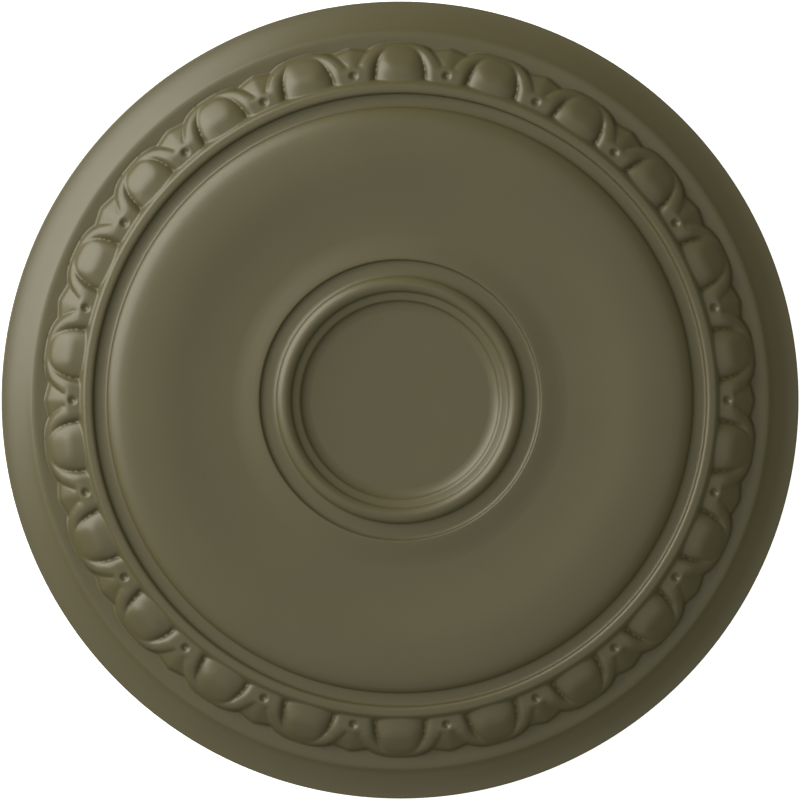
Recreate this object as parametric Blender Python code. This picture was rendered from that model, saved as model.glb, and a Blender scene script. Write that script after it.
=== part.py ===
"""Round ceiling rose with an egg-and-dart band, cast in one piece.

The flat back lies on z = 0, where the ceiling would be, and the carved face looks along +Z.
Darts point along +X and -X, eggs along +Y and -Y.
All sizes are in metres and all tilts in degrees.
"""

import math
from collections import namedtuple

import bmesh
import bpy
from mathutils import Vector
from mathutils.geometry import delaunay_2d_cdt

# Overall
ROSE_RADIUS = 0.2540

# Rim outside the carved band, from the outer edge inwards
EDGE_HEIGHT = 0.0061
EDGE_DRAFT = 0.0004
FLARE_WIDTH = 0.0085
FLARE_TILT = 14.0
SLOPE_WIDTH = 0.0090
SLOPE_TILT = 30.0
ARRIS_WIDTH = 0.0032
ARRIS_TILT = 48.0
GROUND_WIDTH = 0.0035
GROUND_TILT = 2.0

# Carved band, between the flat ground and the raised fillet
EGG_COUNT = 22
BAND_MARGIN = 0.0001
BAND_RISE = 0.0144
EGG_HALF_WIDTH = 0.0159
EGG_LENGTH = 0.0225
EGG_ROUNDNESS = 2.15
EGG_DOME = 0.0039
HUSK_CREASE_DEPTH = 0.0035
HUSK_TIP_DEPTH = 0.0004
HUSK_SIDE_WIDTH = 0.0068
HUSK_TIP_WIDTH = 0.0016
HUSK_ROUNDNESS = 3.0
HUSK_TILT = 34.0
HUSK_BEND_START = 0.0050
HUSK_BEND_WIDTH = 0.0075
HUSK_BACK_WIDTH = 0.0033
HUSK_RIM_WIDTH = 0.0001
WALL_ROUNDNESS = 2.8
CARVED_WALL_WIDTH = 0.0009
DART_START = 0.0100
DART_SINK = 0.0012
DART_KEEL = 0.0008
DART_HALF_WIDTH = 0.0108
DART_SIDE_REACH = 0.0203
DART_TIP_REACH = 0.0230
LEDGE_HEIGHT = 0.0020
LEDGE_WIDTH = 0.0015
PIT_RADIUS = 0.0032
PIT_DEPTH = 0.0013
PIT_PLACE = 0.0057

# Raised fillet, and the step down to the hollow inside it
FILLET_WALL_WIDTH = 0.0019
FILLET_WALL_RISE = 0.0029
FILLET_WIDTH = 0.0037
FILLET_TILT = 6.0
FILLET_EDGE_WIDTH = 0.0015
FILLET_EDGE_TILT = 24.0
FILLET_STEP_WIDTH = 0.0007
FILLET_STEP_TILT = 75.0
HOLLOW_WIDTH = 0.0022
HOLLOW_TILT = 38.0
PLAIN_BAND_WIDTH = 0.0038
BEAD_STEP_WIDTH = 0.0019
BEAD_STEP_TILT = 30.0
BEAD_LEDGE_WIDTH = 0.0009

# Ovolo that falls outward from the crest of the dish
OVOLO_FOOT_WIDTH = 0.0053
OVOLO_FOOT_TILT = 55.0
OVOLO_WIDTH = 0.0255
OVOLO_TILT = 18.0

# Shallow dish, and the lip at its inner end
DISH_TILT = 5.5
LIP_RISE_WIDTH = 0.0115
LIP_TILT = 15.0
LIP_TOP_WIDTH = 0.0057
LIP_TOP_TILT = 4.0

# Two small steps, a band and the torus round the centre
INNER_STEP_TILT = 35.0
LIP_STEP_WIDTH = 0.0015
LIP_LEDGE_WIDTH = 0.0006
INNER_STEP_WIDTH = 0.0016
INNER_BAND_WIDTH = 0.0064
INNER_BAND_TILT = 2.0
TORUS_STEP_WIDTH = 0.0019
TORUS_OUTSIDE_WIDTH = 0.0050
TORUS_OUTSIDE_TILT = 62.0
TORUS_INSIDE_WIDTH = 0.0041
TORUS_INSIDE_TILT = 60.0
TORUS_LEDGE_WIDTH = 0.0008
ROLL_WIDTH = 0.0020
ROLL_TILT = 40.0
CENTRE_FILLET_WIDTH = 0.0011
CENTRE_STEP_WIDTH = 0.0014
CENTRE_LEDGE_WIDTH = 0.0011
CAVETTO_WIDTH = 0.0061
CAVETTO_TILT = 55.0
SEAT_RADIUS = 0.0567

# Facets round the rose for each egg, outside and inside the crest of the dish
OUTER_FACETS = 4
INNER_FACETS = 2

# Straight segments in the lines of half an egg and dart. A dome line is a share of the egg.
EGG_SEGMENTS = 4
DOME_LINES = ((0.85, 3), (0.5, 2))
RIDGE_SEGMENTS = 4
WALL_SEGMENTS = 4
OUTLINE_SEGMENTS = 5
PIT_SEGMENTS = 3
WELD_DISTANCE = 0.00001
DRAWING_GRID = 0.000001
SLIVER_AREA = 0.000000001
SMALLEST_PART = 0.000000001
SMOOTH_ANGLE = 30.0

# Satin paint in a grey olive, as linear red, green, blue and alpha
PAINT_COLOUR = (0.130, 0.118, 0.066, 1.0)
PAINT_ROUGHNESS = 0.45

PITCH = 2 * math.pi / EGG_COUNT
FLAT = 0.0

# One member of the turned profile. The tilts are those of the face at the member's outer and
# inner end, and a positive tilt falls outward.
Member = namedtuple("Member", "width outer_tilt inner_tilt facets")


def rim_members():
    """Hollow flare from the outer edge, slope, rounded arris and flat ground."""
    return [
        Member(FLARE_WIDTH, FLARE_TILT, SLOPE_TILT, 3),
        Member(SLOPE_WIDTH, SLOPE_TILT, SLOPE_TILT, 1),
        Member(ARRIS_WIDTH, ARRIS_TILT, GROUND_TILT, 2),
        Member(GROUND_WIDTH, GROUND_TILT, GROUND_TILT, 1),
    ]


def fillet_members():
    """Raised fillet, the step down inside it, and the ovolo up to the crest of the dish."""
    return [
        Member(FILLET_WIDTH, FILLET_TILT, FILLET_TILT, 1),
        Member(FILLET_EDGE_WIDTH, FLAT, -FILLET_EDGE_TILT, 1),
        Member(FILLET_STEP_WIDTH, -FILLET_STEP_TILT, -FILLET_STEP_TILT, 1),
        Member(HOLLOW_WIDTH, -HOLLOW_TILT, FLAT, 2),
        Member(PLAIN_BAND_WIDTH, FLAT, FLAT, 1),
        Member(BEAD_STEP_WIDTH, BEAD_STEP_TILT, BEAD_STEP_TILT, 1),
        Member(BEAD_LEDGE_WIDTH, FLAT, FLAT, 1),
        Member(OVOLO_FOOT_WIDTH, OVOLO_FOOT_TILT, OVOLO_TILT, 2),
        Member(OVOLO_WIDTH, OVOLO_TILT, FLAT, 3),
    ]


def centre_members():
    """Lip of the dish, steps, band, torus and the cavetto that goes down to the seat."""
    return [
        Member(LIP_RISE_WIDTH, FLAT, LIP_TILT, 2),
        Member(LIP_TOP_WIDTH, LIP_TILT, LIP_TOP_TILT, 1),
        Member(LIP_STEP_WIDTH, -INNER_STEP_TILT, -INNER_STEP_TILT, 1),
        Member(LIP_LEDGE_WIDTH, FLAT, FLAT, 1),
        Member(INNER_STEP_WIDTH, -INNER_STEP_TILT, -INNER_STEP_TILT, 1),
        Member(INNER_BAND_WIDTH, INNER_BAND_TILT, INNER_BAND_TILT, 1),
        Member(TORUS_STEP_WIDTH, INNER_STEP_TILT, INNER_STEP_TILT, 1),
        Member(TORUS_OUTSIDE_WIDTH, TORUS_OUTSIDE_TILT, FLAT, 3),
        Member(TORUS_INSIDE_WIDTH, FLAT, -TORUS_INSIDE_TILT, 3),
        Member(TORUS_LEDGE_WIDTH, FLAT, FLAT, 1),
        Member(ROLL_WIDTH, -ROLL_TILT, FLAT, 1),
        Member(CENTRE_FILLET_WIDTH, FLAT, FLAT, 1),
        Member(CENTRE_STEP_WIDTH, -INNER_STEP_TILT, -INNER_STEP_TILT, 1),
        Member(CENTRE_LEDGE_WIDTH, FLAT, FLAT, 1),
        Member(CAVETTO_WIDTH, -CAVETTO_TILT, FLAT, 3),
    ]


def total_width(members):
    return sum(member.width for member in members)


def walk_inwards(start, members):
    """Points (radius, height) from a start point inwards, each bent member a circular arc."""
    points = [start]
    for member in members:
        radius, height = points[-1]
        outer = math.radians(member.outer_tilt)
        inner = math.radians(member.inner_tilt)
        sweep = math.sin(outer) - math.sin(inner)
        for step in range(1, member.facets + 1):
            tilt = outer + (inner - outer) * step / member.facets
            if abs(sweep) < SMALLEST_PART:
                across = member.width * step / member.facets
                up = across * math.tan(outer)
            else:
                across = member.width * (math.sin(outer) - math.sin(tilt)) / sweep
                up = member.width * (math.cos(tilt) - math.cos(outer)) / sweep
            points.append((radius - across, height + up))
    return points


class Arch:
    """A pointed or rounded arch that stands on the foot of the fillet."""

    def __init__(self, half_width, length, roundness):
        self.half_width = half_width
        self.length = length
        self.roundness = roundness

    def value(self, across, along):
        """1 on the arch, less inside it and more outside."""
        total = (abs(across) / self.half_width) ** self.roundness
        total += (max(along, 0.0) / self.length) ** self.roundness
        return total ** (1 / self.roundness)

    def point(self, turn):
        """Distance across and along, from the foot at turn 0 to the crown at turn 1."""
        angle = turn * math.pi / 2
        across = self.half_width * abs(math.cos(angle)) ** (2 / self.roundness)
        return across, self.length * math.sin(angle) ** (2 / self.roundness)

    def reach(self, across):
        """Distance along the radius where the arch runs, 0 beyond its foot."""
        part = min(abs(across) / self.half_width, 1.0)
        return self.length * (1 - part ** self.roundness) ** (1 / self.roundness)

    def turn_at(self, along):
        """Turn of the point that is this far along."""
        part = min(along / self.length, 1.0)
        return math.asin(part ** (self.roundness / 2)) * 2 / math.pi


def between(inner, outer):
    """0 where the inner arch runs and 1 where the outer arch runs, from their values."""
    past_inner = max(inner - 1.0, 0.0)
    short_of_outer = max(1.0 - outer, 0.0)
    return past_inner / max(past_inner + short_of_outer, SMALLEST_PART)


class CarvedBand:
    """The egg-and-dart band. A place on it is an angle from the middle of the nearest egg and
    a distance along the radius from the foot of the fillet."""

    def __init__(self, ground_radius, ground_height):
        self.top_height = ground_height + BAND_RISE
        self.ledge_height = ground_height + LEDGE_HEIGHT
        self.fillet_height = self.top_height + FILLET_WALL_RISE
        self.egg = Arch(EGG_HALF_WIDTH, EGG_LENGTH, EGG_ROUNDNESS)
        self.ridge = Arch(
            self.egg.half_width + HUSK_SIDE_WIDTH, self.egg.length + HUSK_TIP_WIDTH, HUSK_ROUNDNESS
        )
        self.wall_top = Arch(
            self.ridge.half_width + HUSK_BACK_WIDTH, self.ridge.length + HUSK_RIM_WIDTH, WALL_ROUNDNESS
        )
        self.wall_foot = Arch(
            self.wall_top.half_width + CARVED_WALL_WIDTH,
            self.wall_top.length + CARVED_WALL_WIDTH,
            WALL_ROUNDNESS,
        )
        farthest = max(self.wall_foot.length, DART_SIDE_REACH, DART_TIP_REACH)
        self.width = farthest + LEDGE_WIDTH + BAND_MARGIN
        self.foot_radius = ground_radius - self.width
        self.fillet_radius = self.foot_radius - FILLET_WALL_WIDTH

    def across(self, angle, along):
        return (self.foot_radius + along) * angle

    def aside(self, angle, along):
        """Distance across from the middle of the dart, 1 at its side and beyond."""
        return min(self.across(PITCH / 2 - angle, along) / DART_HALF_WIDTH, 1.0)

    def dart_reach(self, angle, along):
        """Distance along the radius to the outline of the dart."""
        tip = (1 + math.cos(math.pi * self.aside(angle, along))) / 2
        return DART_SIDE_REACH + (DART_TIP_REACH - DART_SIDE_REACH) * tip

    def reach(self, angle, along):
        """Distance along the radius to the scalloped outline of the carving."""
        husk = self.wall_foot.reach(self.across(angle, along))
        return max(husk, self.dart_reach(angle, along))

    def husk_height(self, along):
        """Top of the husk: level at first, then bent down towards the rim."""
        past = along - HUSK_BEND_START
        bend = min(max(past, 0.0), HUSK_BEND_WIDTH)
        run = bend * bend / (2 * HUSK_BEND_WIDTH) + max(past - HUSK_BEND_WIDTH, 0.0)
        bent = self.top_height - run * math.tan(math.radians(HUSK_TILT))
        return max(bent, self.ledge_height + HUSK_TIP_DEPTH)

    def crease_height(self, along):
        """Bottom of the crease round the egg, shallower towards the crown."""
        part = min(along / self.egg.length, 1.0)
        depth = HUSK_CREASE_DEPTH + (HUSK_TIP_DEPTH - HUSK_CREASE_DEPTH) * part * part
        return self.husk_height(along) - depth

    def dart_height(self, angle, along):
        """Face of the dart, sunk below the husks, keeled and falling to the ledge."""
        start = self.husk_height(DART_START) - DART_SINK
        run = self.reach(angle, along) - DART_START
        part = min(max((along - DART_START) / run, 0.0), 1.0)
        keel = DART_KEEL * self.aside(angle, along) * math.sin(math.pi * part)
        return start + (self.ledge_height - start) * part - keel

    def pit_drop(self, angle, along):
        """Round pit in the web between two husks."""
        away = math.hypot(self.across(PITCH / 2 - angle, along), along - PIT_PLACE)
        return PIT_DEPTH * max(1 - away / PIT_RADIUS, 0.0)

    def height(self, angle, along):
        """Height of the carved face, and of the fillet's wall where along is below zero."""
        if along < 0:
            foot = self.height(angle, 0.0)
            return foot + (self.fillet_height - foot) * -along / FILLET_WALL_WIDTH
        past_reach = along - self.reach(angle, along)
        if past_reach >= 0:
            drop = LEDGE_HEIGHT * min(past_reach / LEDGE_WIDTH, 1.0)
            return self.ledge_height - drop
        across = self.across(angle, along)
        egg = self.egg.value(across, along)
        ridge = self.ridge.value(across, along)
        husk = self.husk_height(along)
        crease = self.crease_height(along)
        if egg <= 1.0:
            return crease + EGG_DOME * math.sqrt(1 - egg ** EGG_ROUNDNESS)
        if ridge <= 1.0:
            return crease + (husk - crease) * between(egg, ridge)
        past_wall = between(self.wall_top.value(across, along), self.wall_foot.value(across, along))
        past_start = min(max((along - DART_START) / CARVED_WALL_WIDTH, 0.0), 1.0)
        dart = self.dart_height(angle, along)
        return husk + (dart - husk) * min(past_wall, past_start) - self.pit_drop(angle, along)


class HalfRepeat:
    """Lines of the carving from the middle of an egg to the middle of a dart, drawn flat."""

    def __init__(self, band):
        self.band = band
        self.places = []
        self.lines = []

    def add_place(self, across, along):
        """Keep a point on or inside the sides of the half repeat."""
        side = self.band.across(PITCH / 2, along)
        self.places.append(Vector((min(max(across, 0.0), side), along)))
        return len(self.places) - 1

    def add_line(self, points):
        indices = [self.add_place(across, along) for across, along in points]
        self.lines += list(zip(indices, indices[1:]))

    def side_point(self, along):
        """Point on the middle line of the dart."""
        return self.band.across(PITCH / 2, along), along

    def add_frame(self):
        """Both ends of the band, with the facets of the turned rings, and its two sides."""
        for along in (-FILLET_WALL_WIDTH, self.band.width):
            turns = [PITCH * k / OUTER_FACETS for k in range(OUTER_FACETS // 2 + 1)]
            self.add_line([(self.band.across(turn, along), along) for turn in turns])
        self.add_line([(0.0, -FILLET_WALL_WIDTH), (0.0, self.band.width)])
        self.add_line([self.side_point(-FILLET_WALL_WIDTH), self.side_point(self.band.width)])

    def add_egg(self):
        """Foot of the fillet, crease round the egg, and two lines that round its dome."""
        egg = self.band.egg
        self.add_line([(0.0, 0.0), self.side_point(0.0)])
        self.add_line([egg.point(k / EGG_SEGMENTS) for k in range(EGG_SEGMENTS + 1)])
        for share, segments in DOME_LINES:
            points = [egg.point(k / segments) for k in range(segments + 1)]
            self.add_line([(share * across, share * along) for across, along in points])

    def add_husk(self):
        """Ridge of the husk and both edges of its outer wall, which turns along the dart."""
        ridge = self.band.ridge
        self.add_line([ridge.point(k / RIDGE_SEGMENTS) for k in range(RIDGE_SEGMENTS + 1)])
        for arch, start in (
            (self.band.wall_top, DART_START),
            (self.band.wall_foot, DART_START + CARVED_WALL_WIDTH),
        ):
            corner = arch.turn_at(start)
            turns = [corner + (1 - corner) * k / WALL_SEGMENTS for k in range(WALL_SEGMENTS + 1)]
            points = [arch.point(turn) for turn in reversed(turns)]
            self.add_line(points + [self.side_point(start)])

    def add_outline(self):
        """Outline of the dart, and the foot of the ledge all along."""
        angles = [PITCH / 2 * k / OUTLINE_SEGMENTS for k in range(OUTLINE_SEGMENTS + 1)]
        dart = []
        foot = []
        for angle in angles:
            along = self.band.reach(angle, self.band.width)
            foot.append((self.band.across(angle, along + LEDGE_WIDTH), along + LEDGE_WIDTH))
            if self.band.wall_foot.value(self.band.across(angle, along), along) > 1.0:
                dart.append((self.band.across(angle, along), along))
        self.add_line(dart)
        self.add_line(foot)

    def add_pit(self):
        """Rim and bottom of the pit."""
        middle, along = self.side_point(PIT_PLACE)
        self.add_place(middle, along)
        rim = []
        for k in range(PIT_SEGMENTS + 1):
            turn = math.pi * (k / PIT_SEGMENTS - 0.5)
            place = along + PIT_RADIUS * math.sin(turn)
            rim.append((self.side_point(place)[0] - PIT_RADIUS * math.cos(turn), place))
        self.add_line(rim)

    def triangles(self):
        """Places as (angle, along), and the triangles between them."""
        places, _, faces, _, _, _ = delaunay_2d_cdt(self.places, self.lines, [], 0, DRAWING_GRID)
        kept = [face for face in faces if triangle_area(*(places[k] for k in face)) > SLIVER_AREA]
        polar = [(place.x / (self.band.foot_radius + place.y), place.y) for place in places]
        return polar, kept


def triangle_area(first, second, third):
    return abs((second - first).cross(third - first)) / 2


def add_ring(mesh, radius, height, count):
    """A closed ring of evenly spaced vertices, the first at +X."""
    turns = [2 * math.pi * k / count for k in range(count)]
    return [
        mesh.verts.new((radius * math.cos(turn), radius * math.sin(turn), height)) for turn in turns
    ]


def join_rings(mesh, outer, inner):
    """Faces between two rings, the inner one with as many vertices or half as many."""
    count = len(inner)
    ratio = len(outer) // count
    for k in range(count):
        nearer = inner[k]
        farther = inner[(k + 1) % count]
        edge = [outer[(ratio * k + step) % len(outer)] for step in range(ratio + 1)]
        if ratio == 1:
            mesh.faces.new((edge[0], edge[1], farther, nearer))
        else:
            mesh.faces.new((edge[0], edge[1], nearer))
            mesh.faces.new((edge[1], farther, nearer))
            mesh.faces.new((edge[1], edge[2], farther))


def add_turned_face(mesh, points, counts):
    """A turned stretch of the face, from its outer ring to its inner ring."""
    rings = [add_ring(mesh, *point, count) for point, count in zip(points, counts)]
    for outer, inner in zip(rings, rings[1:]):
        join_rings(mesh, outer, inner)
    return rings[0], rings[-1]


def add_carved_band(mesh, band):
    """All repeats of the egg and dart, each half a mirror image of the other."""
    half = HalfRepeat(band)
    half.add_frame()
    half.add_egg()
    half.add_husk()
    half.add_outline()
    half.add_pit()
    places, faces = half.triangles()
    for repeat in range(EGG_COUNT):
        middle = (repeat + 0.5) * PITCH
        for side in (1, -1):
            verts = []
            for angle, along in places:
                radius = band.foot_radius + along
                turn = middle + side * angle
                x = radius * math.cos(turn)
                verts.append(mesh.verts.new((x, radius * math.sin(turn), band.height(angle, along))))
            for face in faces:
                mesh.faces.new([verts[index] for index in face][::-side])


def make_rose_mesh():
    """One closed body: flat back, turned rings and the carved band."""
    mesh = bmesh.new()
    edge = (ROSE_RADIUS - EDGE_DRAFT, EDGE_HEIGHT)
    rim = [(ROSE_RADIUS, 0.0)] + walk_inwards(edge, rim_members())
    band = CarvedBand(*rim[-1])
    middle = walk_inwards((band.fillet_radius, band.fillet_height), fillet_members())
    crest_radius, crest_height = middle[-1]
    dish_width = crest_radius - SEAT_RADIUS - total_width(centre_members())
    dish = [
        Member(dish_width / 2, FLAT, -DISH_TILT, 2),
        Member(dish_width / 2, -DISH_TILT, FLAT, 2),
    ]
    centre = walk_inwards((crest_radius, crest_height), dish + centre_members())
    outer_count = EGG_COUNT * OUTER_FACETS
    inner_count = EGG_COUNT * INNER_FACETS
    back, _ = add_turned_face(mesh, rim, [outer_count] * len(rim))
    mesh.faces.new(back[::-1])
    add_carved_band(mesh, band)
    add_turned_face(mesh, middle, [outer_count] * len(middle))
    counts = [outer_count] + [inner_count] * (len(centre) - 1)
    _, seat = add_turned_face(mesh, centre, counts)
    mesh.faces.new(seat)
    bmesh.ops.remove_doubles(mesh, verts=mesh.verts, dist=WELD_DISTANCE)
    return mesh


def make_paint():
    """Satin paint, the same all over the face."""
    paint = bpy.data.materials.new("satin_olive_paint")
    paint.use_nodes = True
    shader = paint.node_tree.nodes["Principled BSDF"]
    shader.inputs["Base Color"].default_value = PAINT_COLOUR
    shader.inputs["Roughness"].default_value = PAINT_ROUGHNESS
    shader.inputs["Metallic"].default_value = 0.0
    return paint


def clear_scene():
    for item in list(bpy.data.objects):
        bpy.data.objects.remove(item, do_unlink=True)


def make_ceiling_rose():
    mesh = make_rose_mesh()
    data = bpy.data.meshes.new("ceiling_rose")
    mesh.to_mesh(data)
    mesh.free()
    data.materials.append(make_paint())
    data.shade_smooth()
    data.set_sharp_from_angle(angle=math.radians(SMOOTH_ANGLE))
    rose = bpy.data.objects.new("ceiling_rose", data)
    bpy.context.scene.collection.objects.link(rose)
    return rose


clear_scene()
make_ceiling_rose()
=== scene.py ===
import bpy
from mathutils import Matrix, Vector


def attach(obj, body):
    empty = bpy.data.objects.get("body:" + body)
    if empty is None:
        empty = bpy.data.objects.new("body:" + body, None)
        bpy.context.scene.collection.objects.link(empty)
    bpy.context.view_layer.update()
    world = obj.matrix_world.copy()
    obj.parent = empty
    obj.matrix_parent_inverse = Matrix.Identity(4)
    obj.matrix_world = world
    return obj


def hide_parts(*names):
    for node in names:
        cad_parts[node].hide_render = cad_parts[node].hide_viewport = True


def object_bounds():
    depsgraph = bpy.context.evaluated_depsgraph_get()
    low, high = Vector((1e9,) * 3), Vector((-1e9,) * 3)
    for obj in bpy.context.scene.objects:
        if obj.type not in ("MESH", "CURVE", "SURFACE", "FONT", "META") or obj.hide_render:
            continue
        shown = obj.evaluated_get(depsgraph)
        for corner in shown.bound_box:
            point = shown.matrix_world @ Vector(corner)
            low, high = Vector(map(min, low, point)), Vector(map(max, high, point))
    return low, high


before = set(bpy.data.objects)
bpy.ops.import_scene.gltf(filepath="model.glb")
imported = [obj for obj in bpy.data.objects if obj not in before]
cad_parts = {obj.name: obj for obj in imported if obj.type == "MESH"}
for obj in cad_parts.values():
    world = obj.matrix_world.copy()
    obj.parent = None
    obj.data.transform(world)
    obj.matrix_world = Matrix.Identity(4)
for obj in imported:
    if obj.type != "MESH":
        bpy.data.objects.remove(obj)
cad_box = [list(corner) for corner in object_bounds()]

# Round ceiling rose with an egg-and-dart band, cast in one piece and sprayed with satin paint.
# It lies on its flat back at z = 0, with its carved face up, darts on the X axis and eggs on
# the Y axis. Sizes are in metres and tilts in degrees.

import math
from collections import namedtuple

import bpy
import numpy as np
from mathutils import Vector

# Overall size, from the solid that this surface stands for
ROSE_RADIUS = cad_box[1][0]

# Rim outside the carved band, from the outer edge inwards
EDGE_HEIGHT = 0.0069
EDGE_DRAFT = 0.0004
FLARE_WIDTH = 0.0085
FLARE_TILT = 7.0
SLOPE_WIDTH = 0.0090
SLOPE_TILT = 30.0
ARRIS_WIDTH = 0.0032
ARRIS_TILT = 54.0
GROUND_WIDTH = 0.0035
GROUND_TILT = 2.0

# Carved band, between the flat ground and the raised fillet. It is a convex moulding, level at
# first and then bent down towards the rim, that eggs, husks and darts are carved from.
EGG_COUNT = 22
BAND_WIDTH = 0.0267
BAND_RISE = 0.0144
TOP_TILT = 8.0
BEND_START = 0.0058
BEND_WIDTH = 0.0075
FACE_TILT = 32.0
EGG_HALF_WIDTH = 0.0159
EGG_LENGTH = 0.0228
EGG_ROUNDNESS = 2.6
EGG_CROWN = 0.0009
DOME_BREADTH = 2.5
DOME_EDGE = 0.65
CREASE_WIDTH = 0.0012
CREASE_DEPTH = 0.0004
HUSK_HALF_WIDTH = 0.0227
HUSK_LENGTH = 0.0241
HUSK_ROUNDNESS = 3.0
HUSK_RIDGE_WIDTH = 0.0008
HUSK_INNER_WIDTH = 0.0062
HUSK_INNER_TILT = 63.0
HUSK_TIP_DROP = 0.0020
HUSK_TIP_REACH = 7.0
HUSK_BACK_RADIUS = 0.0200
HUSK_BACK_TIGHT_RADIUS = 0.0017
HUSK_BACK_TIGHT_PLACE = 0.0195
WALL_HALF_WIDTH = 0.0269
WALL_LENGTH = 0.0245
WALL_ROUNDNESS = 2.8
WALL_ROUNDING_WIDTH = 0.0012
WALL_ROUNDING_DROP = 0.0008
WALL_FOOT_WIDTH = 0.0024
WALL_FOOT_HOLLOW = 3.0
CUT_WIDTH = 0.0007
CUT_DEPTH = 0.0005
CUT_PLACE = 0.0006
DART_START = 0.0094
DART_START_TILT = 31.0
DART_END_TILT = 42.0
DART_LENGTH = 0.02265
DART_POINT_TILT = 13.2
DART_KEEL_TILT = 13.0
DART_KEEL_START = 0.0030
DART_KEEL_ROUNDING = 0.0020
PIT_RADIUS = 0.0032
PIT_DEPTH = 0.0023
PIT_PLACE = 0.0056
PIT_ROUNDNESS = 1.5

# Raised fillet, the riser inside it and the hollow down to the foot of the ovolo
FILLET_WALL_WIDTH = 0.0020
FILLET_WALL_RISE = 0.0029
FILLET_WALL_TOP_TILT = 38.0
FILLET_WALL_FOOT_TILT = 66.0
FILLET_WALL_REACH = 0.0026
FILLET_WIDTH = 0.0027
FILLET_TILT = 8.0
FILLET_EDGE_WIDTH = 0.00265
FILLET_EDGE_TILT = 38.0
RISER_TILT = 74.0
FILLET_RISER_WIDTH = 0.0006
FILLET_FOOT_WIDTH = 0.00205
FILLET_FOOT_TILT = 43.0
HOLLOW_WIDTH = 0.0042
HOLLOW_TILT = 7.0
HOLLOW_END_WIDTH = 0.0022
HOLLOW_END_TILT = 36.0

# Ovolo that falls outward from the crest of the dish
OVOLO_RISER_WIDTH = 0.0004
OVOLO_FOOT_WIDTH = 0.00635
OVOLO_FOOT_TILT = 46.0
OVOLO_BEND_WIDTH = 0.0044
OVOLO_BEND_TILT = 17.0
OVOLO_WIDTH = 0.01985
OVOLO_TILT = 9.0

# Shallow dish, and the lip at its inner end
DISH_FALL_WIDTH = 0.0140
DISH_TILT = 8.0
LIP_RISE_WIDTH = 0.0115
LIP_TILT = 18.0
LIP_TOP_WIDTH = 0.0057
LIP_TOP_TILT = 5.0
LIP_EDGE_WIDTH = 0.0012
LIP_EDGE_TILT = 42.0
LIP_RISER_WIDTH = 0.0004
LIP_FOOT_WIDTH = 0.0021

# Band and torus round the centre, with a riser on each side
INNER_BAND_WIDTH = 0.0057
INNER_BAND_TILT = 8.0
TORUS_FOOT_WIDTH = 0.0023
TORUS_FOOT_TILT = 38.0
TORUS_OUTER_RISER_WIDTH = 0.0003
TORUS_OUTSIDE_WIDTH = 0.0050
TORUS_OUTSIDE_TILT = 55.0
TORUS_INSIDE_WIDTH = 0.0044
TORUS_INSIDE_TILT = 56.0
CENTRE_RISER_WIDTH = 0.0003
ROLL_WIDTH = 0.0025
ROLL_TILT = 34.0
CENTRE_FILLET_WIDTH = 0.0009
CENTRE_FILLET_TILT = 7.0
CENTRE_EDGE_WIDTH = 0.0020
CENTRE_EDGE_TILT = 38.0
CAVETTO_WIDTH = 0.0063
CAVETTO_TILT = 42.0
SEAT_RADIUS = 0.0567

# Corners rounded by the mould and the paint, as the spread of the rounding
PROFILE_SOFTNESS = 0.00022
CARVING_SOFTNESS = 0.00036
SPREADS_REACHED = 3

# Fineness of the surface. Half a repeat of the band is HALF_FACETS columns wide, and the plain
# members have fewer and wider segments. A ring is due for each RING_TURN degrees of bend, and
# for each RING_GAP where there is less
PROFILE_STEP = 0.00005
RASTER_ROW = 0.0001
ROWS_PER_RING = 7
COLUMNS_PER_FACET = 8
HALF_FACETS = 36
COLUMNS_PER_RIM_SEGMENT = 6
RIM_SEGMENTS = EGG_COUNT * 2 * HALF_FACETS // COLUMNS_PER_RIM_SEGMENT
INNER_SEGMENTS = RIM_SEGMENTS // 2
RING_TURN = 26.0
RING_GAP = 0.0060
RING_GROWTH = 2.0
SHARP_ANGLE = 60.0
SMALLEST_PART = 0.000000001

PITCH = 2 * math.pi / EGG_COUNT
FLAT = 0.0
FAR_BELOW = -1.0

# Satin paint. Each pattern has the width of its lumps, and its fineness as noise detail
THICK_PAINT_HEX = "57513a"
THIN_PAINT_HEX = "514b34"
PAINT_IOR = 1.5
SMOOTH_ROUGHNESS = 0.34
DRY_ROUGHNESS = 0.40
COAT_SIZE = 0.060
COAT_DETAIL = 2.0
SPRAY_SIZE = 0.012
SPRAY_DETAIL = 3.0
PEEL_SIZE = 0.0016
PEEL_DETAIL = 2.0
PEEL_HEIGHT = 0.00003
PEEL_STRENGTH = 0.25

# Studio: pale floor, even light from all round, two soft panels and the camera
FLOOR_HEX = "f4f4f2"
FLOOR_ROUGHNESS = 0.8
FLOOR_GLOW = 0.9
FLOOR_HALF_SIDE = 15.0
FLOOR_GAP = 0.0005
SKY_HEX = "ffffdd"
SKY_STRENGTH = 0.25
SOFTBOX_DISTANCE = 3.0
PHOTO_WIDTH = 0.50927
CAMERA_LENS = 1000.0
CAMERA_PLANE = 0.012

Member = namedtuple("Member", "width outer_tilt inner_tilt")
Softbox = namedtuple("Softbox", "name azimuth off_axis size power tint")

SOFTBOXES = [
    Softbox("side_softbox", azimuth=149, off_axis=65, size=(3.34, 2.86), power=144, tint="fffdf2"),
    Softbox("top_softbox", azimuth=234, off_axis=17, size=(7.0, 7.0), power=64, tint="ffffff"),
]


def rim_members():
    """Hollow flare from the outer edge, slope, rounded arris and flat ground."""
    return [
        Member(FLARE_WIDTH, FLARE_TILT, SLOPE_TILT),
        Member(SLOPE_WIDTH, SLOPE_TILT, SLOPE_TILT),
        Member(ARRIS_WIDTH, ARRIS_TILT, GROUND_TILT),
        Member(GROUND_WIDTH, GROUND_TILT, GROUND_TILT),
    ]


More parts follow.
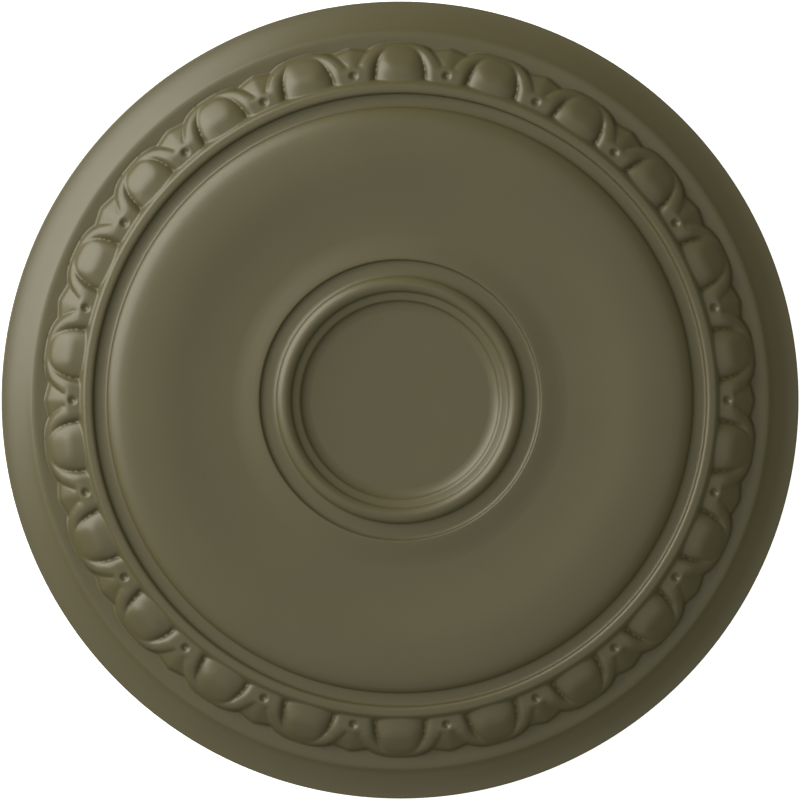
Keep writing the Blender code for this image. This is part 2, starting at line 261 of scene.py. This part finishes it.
def fillet_members():
    """Raised fillet, the hollow inside it, and the ovolo up to the crest of the dish."""
    return [
        Member(FILLET_WIDTH, FILLET_TILT, FILLET_TILT),
        Member(FILLET_EDGE_WIDTH, FILLET_TILT, -FILLET_EDGE_TILT),
        Member(FILLET_RISER_WIDTH, -RISER_TILT, -RISER_TILT),
        Member(FILLET_FOOT_WIDTH, -FILLET_FOOT_TILT, FLAT),
        Member(HOLLOW_WIDTH, FLAT, HOLLOW_TILT),
        Member(HOLLOW_END_WIDTH, HOLLOW_TILT, HOLLOW_END_TILT),
        Member(OVOLO_RISER_WIDTH, RISER_TILT, RISER_TILT),
        Member(OVOLO_FOOT_WIDTH, OVOLO_FOOT_TILT, OVOLO_BEND_TILT),
        Member(OVOLO_BEND_WIDTH, OVOLO_BEND_TILT, OVOLO_TILT),
        Member(OVOLO_WIDTH, OVOLO_TILT, FLAT),
    ]


def centre_members():
    """Lip of the dish, band, torus and the cavetto that goes down to the seat."""
    return [
        Member(LIP_RISE_WIDTH, FLAT, LIP_TILT),
        Member(LIP_TOP_WIDTH, LIP_TILT, LIP_TOP_TILT),
        Member(LIP_EDGE_WIDTH, FLAT, -LIP_EDGE_TILT),
        Member(LIP_RISER_WIDTH, -RISER_TILT, -RISER_TILT),
        Member(LIP_FOOT_WIDTH, -LIP_EDGE_TILT, FLAT),
        Member(INNER_BAND_WIDTH, FLAT, INNER_BAND_TILT),
        Member(TORUS_FOOT_WIDTH, INNER_BAND_TILT, TORUS_FOOT_TILT),
        Member(TORUS_OUTER_RISER_WIDTH, RISER_TILT, RISER_TILT),
        Member(TORUS_OUTSIDE_WIDTH, TORUS_OUTSIDE_TILT, FLAT),
        Member(TORUS_INSIDE_WIDTH, FLAT, -TORUS_INSIDE_TILT),
        Member(CENTRE_RISER_WIDTH, -RISER_TILT, -RISER_TILT),
        Member(ROLL_WIDTH, -ROLL_TILT, -CENTRE_FILLET_TILT),
        Member(CENTRE_FILLET_WIDTH, -CENTRE_FILLET_TILT, -CENTRE_FILLET_TILT),
        Member(CENTRE_EDGE_WIDTH, -CENTRE_FILLET_TILT, -CENTRE_EDGE_TILT),
        Member(CENTRE_RISER_WIDTH, -RISER_TILT, -RISER_TILT),
        Member(CAVETTO_WIDTH, -CAVETTO_TILT, FLAT),
    ]


def dish_members(crest_radius):
    """The dish takes up the width that the crest and the centre leave."""
    centre_width = sum(member.width for member in centre_members())
    rest = crest_radius - DISH_FALL_WIDTH - SEAT_RADIUS - centre_width
    return [Member(DISH_FALL_WIDTH, FLAT, -DISH_TILT), Member(rest, -DISH_TILT, FLAT)]


def walk_inwards(start, members):
    """Fine points (radius, height) from a start point inwards, each bent member an arc."""
    points = [start]
    for member in members:
        radius, height = points[-1]
        outer = math.radians(member.outer_tilt)
        inner = math.radians(member.inner_tilt)
        sweep = math.sin(outer) - math.sin(inner)
        steps = math.ceil(member.width / PROFILE_STEP)
        for step in range(1, steps + 1):
            tilt = outer + (inner - outer) * step / steps
            if abs(sweep) < SMALLEST_PART:
                across = member.width * step / steps
                up = across * math.tan(outer)
            else:
                across = member.width * (math.sin(outer) - math.sin(tilt)) / sweep
                up = member.width * (math.cos(tilt) - math.cos(outer)) / sweep
            points.append((radius - across, height + up))
    return points


def blurred(values, spread, mirrored=False):
    """Gaussian average along the first axis, with a spread in samples. Past its ends the array
    goes on as its mirror image, or straight on."""
    reach = math.ceil(SPREADS_REACHED * spread)
    offsets = np.arange(-reach, reach + 1)
    weights = np.exp(-0.5 * (offsets / spread) ** 2)
    weights /= weights.sum()
    before = values[reach:0:-1]
    after = values[-2 : -reach - 2 : -1]
    if not mirrored:
        before = 2 * values[:1] - before
        after = 2 * values[-1:] - after
    padded = np.concatenate((before, values, after))
    return sum(weight * padded[k : k + len(values)] for k, weight in enumerate(weights))


def soft_profile(points):
    """The same profile in even steps, with its corners rounded."""
    points = np.array(points)
    gaps = np.hypot(*np.diff(points, axis=0).T)
    run = np.concatenate(([0.0], np.cumsum(gaps)))
    places = np.linspace(0.0, run[-1], math.ceil(run[-1] / PROFILE_STEP) + 1)
    even = np.stack([np.interp(places, run, column) for column in points.T], axis=1)
    return blurred(even, PROFILE_SOFTNESS / PROFILE_STEP)


def ring_places(profile):
    """The points of a fine profile that get a ring: close together where it bends, and farther
    apart the farther the bend."""
    steps = np.diff(profile, axis=0)
    runs = np.hypot(*steps.T)
    turns = np.abs(np.diff(np.arctan2(steps[:, 1], steps[:, 0])))
    bends = np.degrees(turns) / runs[1:]
    gaps = np.minimum(RING_TURN / np.maximum(bends, SMALLEST_PART), RING_GAP).tolist()
    for k in range(1, len(gaps)):
        gaps[k] = min(gaps[k], gaps[k - 1] + RING_GROWTH * runs[k])
    for k in range(len(gaps) - 2, -1, -1):
        gaps[k] = min(gaps[k], gaps[k + 1] + RING_GROWTH * runs[k])
    kept = [profile[0]]
    passed = 0.0
    for k, gap in enumerate(gaps):
        passed += runs[k] / gap
        if passed >= 1:
            kept.append(profile[k + 1])
            passed -= 1
    return kept + [profile[-1]]


class Arch:
    """A rounded arch that stands on the foot of the fillet."""

    def __init__(self, half_width, length, roundness):
        self.half_width = half_width
        self.length = length
        self.roundness = roundness

    def value(self, across, along):
        """1 on the arch, less inside it and more outside."""
        total = (np.abs(across) / self.half_width) ** self.roundness
        total = total + (np.maximum(along, 0.0) / self.length) ** self.roundness
        return np.maximum(total, SMALLEST_PART) ** (1 / self.roundness)

    def steepness(self, across, along):
        """How fast the value grows with distance, at a place or any other on the same ray."""
        value = self.value(across, along)
        power = self.roundness - 1
        sideways = (np.abs(across) / self.half_width / value) ** power / self.half_width
        outwards = (np.maximum(along, 0.0) / self.length / value) ** power / self.length
        return np.maximum(np.hypot(sideways, outwards), SMALLEST_PART)

    def depth(self, across, along):
        """Distance inside the arch, below zero outside it."""
        return (1 - self.value(across, along)) / self.steepness(across, along)


def arc_drop(run, width, start_tilt, end_tilt):
    """Drop along an arc whose face turns from one tilt to another, straight on past its end."""
    start = math.sin(math.radians(start_tilt))
    end = math.sin(math.radians(end_tilt))
    bend = np.clip(run, 0.0, width)
    radius = width / (end - start)
    leaning = start + bend / radius
    curve = radius * (math.cos(math.radians(start_tilt)) - np.sqrt(1 - leaning * leaning))
    return curve + np.maximum(run - width, 0.0) * math.tan(math.radians(end_tilt))


class CarvedBand:
    """The egg-and-dart band. A place on it is an angle from the middle of the nearest egg and
    a distance along the radius from the foot of the fillet."""

    def __init__(self, ground_radius, ground_height):
        self.ground_height = ground_height
        self.foot_radius = ground_radius - BAND_WIDTH
        self.top_height = ground_height + BAND_RISE
        self.fillet_radius = self.foot_radius - FILLET_WALL_WIDTH
        self.fillet_height = self.top_height + FILLET_WALL_RISE
        self.egg = Arch(EGG_HALF_WIDTH, EGG_LENGTH, EGG_ROUNDNESS)
        self.ridge = Arch(HUSK_HALF_WIDTH, HUSK_LENGTH, HUSK_ROUNDNESS)
        self.wall = Arch(WALL_HALF_WIDTH, WALL_LENGTH, WALL_ROUNDNESS)

    def face(self, along):
        """The band before it is carved: nearly level, then bent down towards the rim."""
        level = self.top_height - np.minimum(along, BEND_START) * math.tan(math.radians(TOP_TILT))
        return level - arc_drop(along - BEND_START, BEND_WIDTH, TOP_TILT, FACE_TILT)

    def inner_drop(self, depth):
        """Fall of the husk's inner face below its ridge, steeper and steeper inwards."""
        return arc_drop(depth - HUSK_RIDGE_WIDTH, HUSK_INNER_WIDTH, FLAT, HUSK_INNER_TILT)

    def husk(self, across, along):
        """Rounded ridge of the husk, with its inner face and its back."""
        depth = self.ridge.depth(across, along)
        tip = HUSK_TIP_DROP * (np.clip(along, 0.0, HUSK_LENGTH) / HUSK_LENGTH) ** HUSK_TIP_REACH
        grown = np.maximum(along - DART_START, 0.0) / (HUSK_BACK_TIGHT_PLACE - DART_START)
        bend = 1 / HUSK_BACK_RADIUS + grown * grown / HUSK_BACK_TIGHT_RADIUS
        back = np.minimum(depth, 0.0)
        return self.face(along) - tip - self.inner_drop(depth) - bend * back * back / 2

    def egg_dome(self, across, along):
        """Smooth dome whose edge meets the inner face of the husk in the crease."""
        value = self.egg.value(across, along)
        share = np.minimum(value, 1.0)
        rim_depth = (1 - self.ridge.value(across, along) / value) / self.ridge.steepness(across, along)
        tip = (np.clip(along, 0.0, EGG_LENGTH) / HUSK_LENGTH) ** HUSK_TIP_REACH * HUSK_TIP_DROP
        edge_drop = self.inner_drop(rim_depth) + tip
        dome = (1 - share**DOME_BREADTH) ** DOME_EDGE
        crown = self.face(along) + EGG_CROWN
        full_drop = EGG_CROWN + edge_drop
        return np.where(value <= 1.0, crown - full_drop * (1 - dome), FAR_BELOW)

    def dart(self, from_dart, along):
        """The web between the husks, and the keeled dart that falls away past it."""
        past = np.maximum(along - DART_START, 0.0)
        width = DART_LENGTH - DART_START
        drop = arc_drop(past, width, DART_START_TILT, DART_END_TILT)
        aside = np.hypot(from_dart, DART_KEEL_ROUNDING) - DART_KEEL_ROUNDING
        keel = math.tan(math.radians(DART_KEEL_TILT)) * aside
        keel = keel * np.minimum(past / DART_KEEL_START, 1.0)
        return self.face(np.minimum(along, DART_START)) - drop - keel

    def heights(self, angle, along):
        """Height of the carved face at arrays of places, with sharp corners."""
        across = (self.foot_radius + along) * angle
        from_dart = (self.foot_radius + along) * (PITCH / 2 - angle)
        away = np.minimum(np.hypot(from_dart, along - PIT_PLACE) / PIT_RADIUS, 1.0)
        dart = self.dart(from_dart, along) - PIT_DEPTH * (1 - away * away) ** PIT_ROUNDNESS
        husk = self.husk(across, along)
        off_crease = self.egg.depth(across, along) / CREASE_WIDTH
        crease = CREASE_DEPTH * np.exp(-off_crease * off_crease)
        within = np.maximum(husk, self.egg_dome(across, along)) - crease
        off_boundary = (husk - dart) / CUT_WIDTH
        cut_in = np.clip((along - DART_START) / DART_KEEL_START, 0.0, 1.0)
        boundary = CUT_DEPTH * cut_in * np.exp(-off_boundary * off_boundary)
        beyond = np.where(along < DART_START, dart, np.maximum(husk, dart) - boundary)
        carved = np.where(self.ridge.depth(across, along) > 0.0, within, beyond)

        # Steep wall round the carving, rounded at its top and hollow at its foot
        lean = math.radians(DART_POINT_TILT)
        dart_inside = (DART_LENGTH - along) * math.cos(lean) - from_dart * math.sin(lean)
        inside = np.maximum(self.wall.depth(across, along), dart_inside)
        rounding = np.clip(1 - inside / WALL_ROUNDING_WIDTH, 0.0, 1.0)
        above = carved - self.ground_height - WALL_ROUNDING_DROP * rounding * rounding
        foot = np.clip(1 + inside / WALL_FOOT_WIDTH, 0.0, 1.0) ** WALL_FOOT_HOLLOW
        rim = -math.tan(math.radians(GROUND_TILT)) * (along - BAND_WIDTH)
        level = self.ground_height + rim + (np.maximum(above, 0.0) - rim) * foot
        off_cut = (inside + CUT_PLACE) / CUT_WIDTH
        level = level - CUT_DEPTH * np.exp(-off_cut * off_cut)

        # Wall and outer half of the fillet
        past_edge = along + FILLET_WALL_WIDTH
        fall = arc_drop(past_edge, FILLET_WALL_REACH, FILLET_WALL_TOP_TILT, FILLET_WALL_FOOT_TILT)
        wall = self.fillet_height - fall
        top = self.fillet_height - past_edge * math.tan(math.radians(FILLET_TILT))
        return np.where(past_edge < 0, top, np.maximum(level, wall))


def carved_rings(band):
    """Radii and heights of the band's rings, from the ground to the middle of the fillet. Each
    row of heights runs once round, starting at +X in the middle of a dart."""
    inner_end = -FILLET_WALL_WIDTH - FILLET_WIDTH / 2
    outer_end = BAND_WIDTH + GROUND_WIDTH / 2
    rings = round((outer_end - inner_end) / (RASTER_ROW * ROWS_PER_RING))
    along = np.linspace(outer_end, inner_end, rings * ROWS_PER_RING + 1)
    angle = np.linspace(0.0, PITCH / 2, HALF_FACETS * COLUMNS_PER_FACET + 1)
    sharp = band.heights(angle[None, :], along[:, None])
    column = band.foot_radius * (angle[1] - angle[0])
    row = along[0] - along[1]
    soft = blurred(sharp, CARVING_SOFTNESS / row)
    soft = blurred(soft.T, CARVING_SOFTNESS / column, mirrored=True).T
    half = soft[::ROWS_PER_RING, ::COLUMNS_PER_FACET]
    repeat = np.concatenate((half[:, :0:-1], half[:, :-1]), axis=1)
    return band.foot_radius + along[::ROWS_PER_RING], np.tile(repeat, (1, EGG_COUNT))


class Surface:
    """Vertices and faces of the rose, built ring by ring from the outside inwards."""

    def __init__(self):
        self.rings = []
        self.places = []
        self.faces = []
        self.count = 0

    def add_ring(self, radius, heights):
        """A ring of evenly spaced vertices, the first at +X."""
        turns = np.arange(len(heights)) * (2 * math.pi / len(heights))
        ring = np.stack((radius * np.cos(turns), radius * np.sin(turns), heights), axis=1)
        indices = np.arange(self.count, self.count + len(heights))
        self.places.append(ring)
        self.rings.append(indices)
        self.count += len(heights)
        if len(self.rings) > 1:
            self.join(self.rings[-2], self.rings[-1])

    def join(self, outer, inner):
        """Faces between two rings, one with as many vertices as the other or a multiple."""
        if len(outer) == len(inner):
            quads = (outer, np.roll(outer, -1), np.roll(inner, -1), inner)
            self.faces += np.stack(quads, axis=1).tolist()
            return
        finer, coarser = (outer, inner) if len(outer) > len(inner) else (inner, outer)
        ratio = len(finer) // len(coarser)
        for k, corner in enumerate(coarser.tolist()):
            fan = [int(finer[(ratio * k + step) % len(finer)]) for step in range(ratio + 1)]
            following = int(coarser[(k + 1) % len(coarser)])
            middle = ratio // 2
            triangles = [(a, b, corner) for a, b in zip(fan[:middle], fan[1 : middle + 1])]
            triangles.append((fan[middle], following, corner))
            triangles += [(a, b, following) for a, b in zip(fan[middle:], fan[middle + 1 :])]
            if finer is inner:
                triangles = [triangle[::-1] for triangle in triangles]
            self.faces += triangles

    def close(self):
        """One face for the back, and a fan over the flat centre."""
        self.faces.append(self.rings[0][::-1].tolist())
        last = self.rings[-1]
        height = self.places[-1][0][2]
        self.places.append(np.array([[0.0, 0.0, height]]))
        for a, b in zip(last, np.roll(last, -1)):
            self.faces.append((int(a), int(b), self.count))
        self.count += 1


def rose_surface():
    """The whole surface: rim, carved band, fillet, dish and centre."""
    surface = Surface()
    edge = (ROSE_RADIUS - EDGE_DRAFT, EDGE_HEIGHT)
    rim = walk_inwards(edge, rim_members())
    band = CarvedBand(*rim[-1])
    radii, heights = carved_rings(band)
    for radius, height in ring_places(soft_profile([(ROSE_RADIUS, 0.0)] + rim)):
        if radius > radii[0] + PROFILE_STEP:
            surface.add_ring(radius, np.full(RIM_SEGMENTS, height))
    for radius, ring in zip(radii, heights):
        surface.add_ring(radius, ring)
    middle = walk_inwards((band.fillet_radius, band.fillet_height), fillet_members())
    centre = dish_members(middle[-1][0]) + centre_members()
    inner = soft_profile(walk_inwards(middle[0], fillet_members() + centre))
    for radius, height in ring_places(inner):
        if radius < radii[-1] - PROFILE_STEP:
            surface.add_ring(radius, np.full(INNER_SEGMENTS, height))
    surface.close()
    return surface


def srgb(code):
    """Linear red, green, blue and alpha from an sRGB hex code."""
    channels = [int(code[k : k + 2], 16) / 255 for k in (0, 2, 4)]
    linear = [c / 12.92 if c <= 0.04045 else ((c + 0.055) / 1.055) ** 2.4 for c in channels]
    return (*linear, 1.0)


def add_node(tree, kind, settings, links):
    """A node with its settings and constant inputs, linked from the sockets named."""
    node = tree.nodes.new(kind)
    for name, value in settings.items():
        if name in node.inputs:
            node.inputs[name].default_value = value
        else:
            setattr(node, name, value)
    for name, socket in links.items():
        tree.links.new(socket, node.inputs[name])
    return node


def noise(tree, place, size, detail):
    """Noise whose lumps are about as wide as the size, in metres."""
    settings = {"Scale": 1 / size, "Detail": detail}
    return add_node(tree, "ShaderNodeTexNoise", settings, {"Vector": place}).outputs["Fac"]


def satin_olive_paint():
    """Water-based paint sprayed in thin coats on a smooth foam casting."""
    paint = bpy.data.materials.new("satin_olive_paint")
    paint.use_nodes = True
    tree = paint.node_tree
    shader = tree.nodes["Principled BSDF"]
    shader.inputs["IOR"].default_value = PAINT_IOR
    place = add_node(tree, "ShaderNodeTexCoord", {}, {}).outputs["Object"]

    # The coats are not quite even, which gives the eye a faint drift from one olive to another
    coats = {"Color1": srgb(THIN_PAINT_HEX), "Color2": srgb(THICK_PAINT_HEX)}
    drift = noise(tree, place, COAT_SIZE, COAT_DETAIL)
    shade = add_node(tree, "ShaderNodeMixRGB", coats, {"Fac": drift})
    tree.links.new(shade.outputs["Color"], shader.inputs["Base Color"])

    # Spray that dried sooner in places, which breaks up the sheen of the plain members
    limits = {"To Min": SMOOTH_ROUGHNESS, "To Max": DRY_ROUGHNESS}
    spray = noise(tree, place, SPRAY_SIZE, SPRAY_DETAIL)
    sheen = add_node(tree, "ShaderNodeMapRange", limits, {"Value": spray})
    tree.links.new(sheen.outputs["Result"], shader.inputs["Roughness"])

    # Orange peel of sprayed paint. The real lumps are under a millimetre wide; they are drawn
    # coarser so that they show as a soft grain in the highlights
    peel = {"Strength": PEEL_STRENGTH, "Distance": PEEL_HEIGHT}
    lumps = noise(tree, place, PEEL_SIZE, PEEL_DETAIL)
    bump = add_node(tree, "ShaderNodeBump", peel, {"Height": lumps})
    tree.links.new(bump.outputs["Normal"], shader.inputs["Normal"])
    return paint


def make_rose():
    """The painted rose, which takes the place of the plain solid."""
    surface = rose_surface()
    data = bpy.data.meshes.new("painted_rose")
    data.from_pydata(np.concatenate(surface.places).tolist(), [], surface.faces)
    data.materials.append(satin_olive_paint())
    data.shade_smooth()
    data.set_sharp_from_angle(angle=math.radians(SHARP_ANGLE))
    rose = bpy.data.objects.new("painted_rose", data)
    bpy.context.scene.collection.objects.link(rose)
    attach(rose, "root")
    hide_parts("ceiling_rose")


def make_floor():
    """Plain pale floor, just under the rose. Its light stays off the rose."""
    data = bpy.data.meshes.new("floor")
    side = FLOOR_HALF_SIDE
    corners = [(-side, -side, 0.0), (side, -side, 0.0), (side, side, 0.0), (-side, side, 0.0)]
    data.from_pydata(corners, [], [(0, 1, 2, 3)])
    floor = bpy.data.objects.new("floor", data)
    bpy.context.scene.collection.objects.link(floor)
    floor.location.z = -FLOOR_GAP
    pale = bpy.data.materials.new("pale_floor")
    pale.use_nodes = True
    shader = pale.node_tree.nodes["Principled BSDF"]
    shader.inputs["Base Color"].default_value = srgb(FLOOR_HEX)
    shader.inputs["Roughness"].default_value = FLOOR_ROUGHNESS
    shader.inputs["Emission Color"].default_value = (1, 1, 1, 1)
    shader.inputs["Emission Strength"].default_value = FLOOR_GLOW
    data.materials.append(pale)
    floor.visible_diffuse = False
    floor.visible_glossy = False


def make_softbox(softbox):
    """A soft panel that faces the rose, placed by its azimuth and its angle from straight up."""
    lamp = bpy.data.lights.new(softbox.name, "AREA")
    lamp.shape = "RECTANGLE"
    lamp.size, lamp.size_y = softbox.size
    lamp.energy = softbox.power
    lamp.color = srgb(softbox.tint)[:3]
    panel = bpy.data.objects.new(softbox.name, lamp)
    bpy.context.scene.collection.objects.link(panel)
    turn = math.radians(softbox.azimuth)
    lean = math.radians(softbox.off_axis)
    outwards = Vector(
        (math.cos(turn) * math.sin(lean), math.sin(turn) * math.sin(lean), math.cos(lean))
    )
    panel.location = outwards * SOFTBOX_DISTANCE
    panel.rotation_mode = "QUATERNION"
    panel.rotation_quaternion = outwards.to_track_quat("Z", "Y")
    panel.visible_camera = False


def make_light():
    """Even light from all round, and the soft panels."""
    scene = bpy.context.scene
    world = bpy.data.worlds.new("studio")
    world.use_nodes = True
    background = world.node_tree.nodes["Background"]
    background.inputs["Color"].default_value = srgb(SKY_HEX)
    background.inputs["Strength"].default_value = SKY_STRENGTH
    scene.world = world
    scene.view_settings.view_transform = "Standard"
    for softbox in SOFTBOXES:
        make_softbox(softbox)


def make_camera():
    """Long lens square on to the face, so that its edges show no perspective to speak of."""
    camera = bpy.data.cameras.new("camera")
    camera.lens = CAMERA_LENS
    distance = PHOTO_WIDTH * CAMERA_LENS / camera.sensor_width
    camera.clip_end = 2 * distance
    holder = bpy.data.objects.new("camera", camera)
    holder.location.z = CAMERA_PLANE + distance
    bpy.context.scene.collection.objects.link(holder)
    bpy.context.scene.camera = holder


make_rose()
make_floor()
make_light()
make_camera()
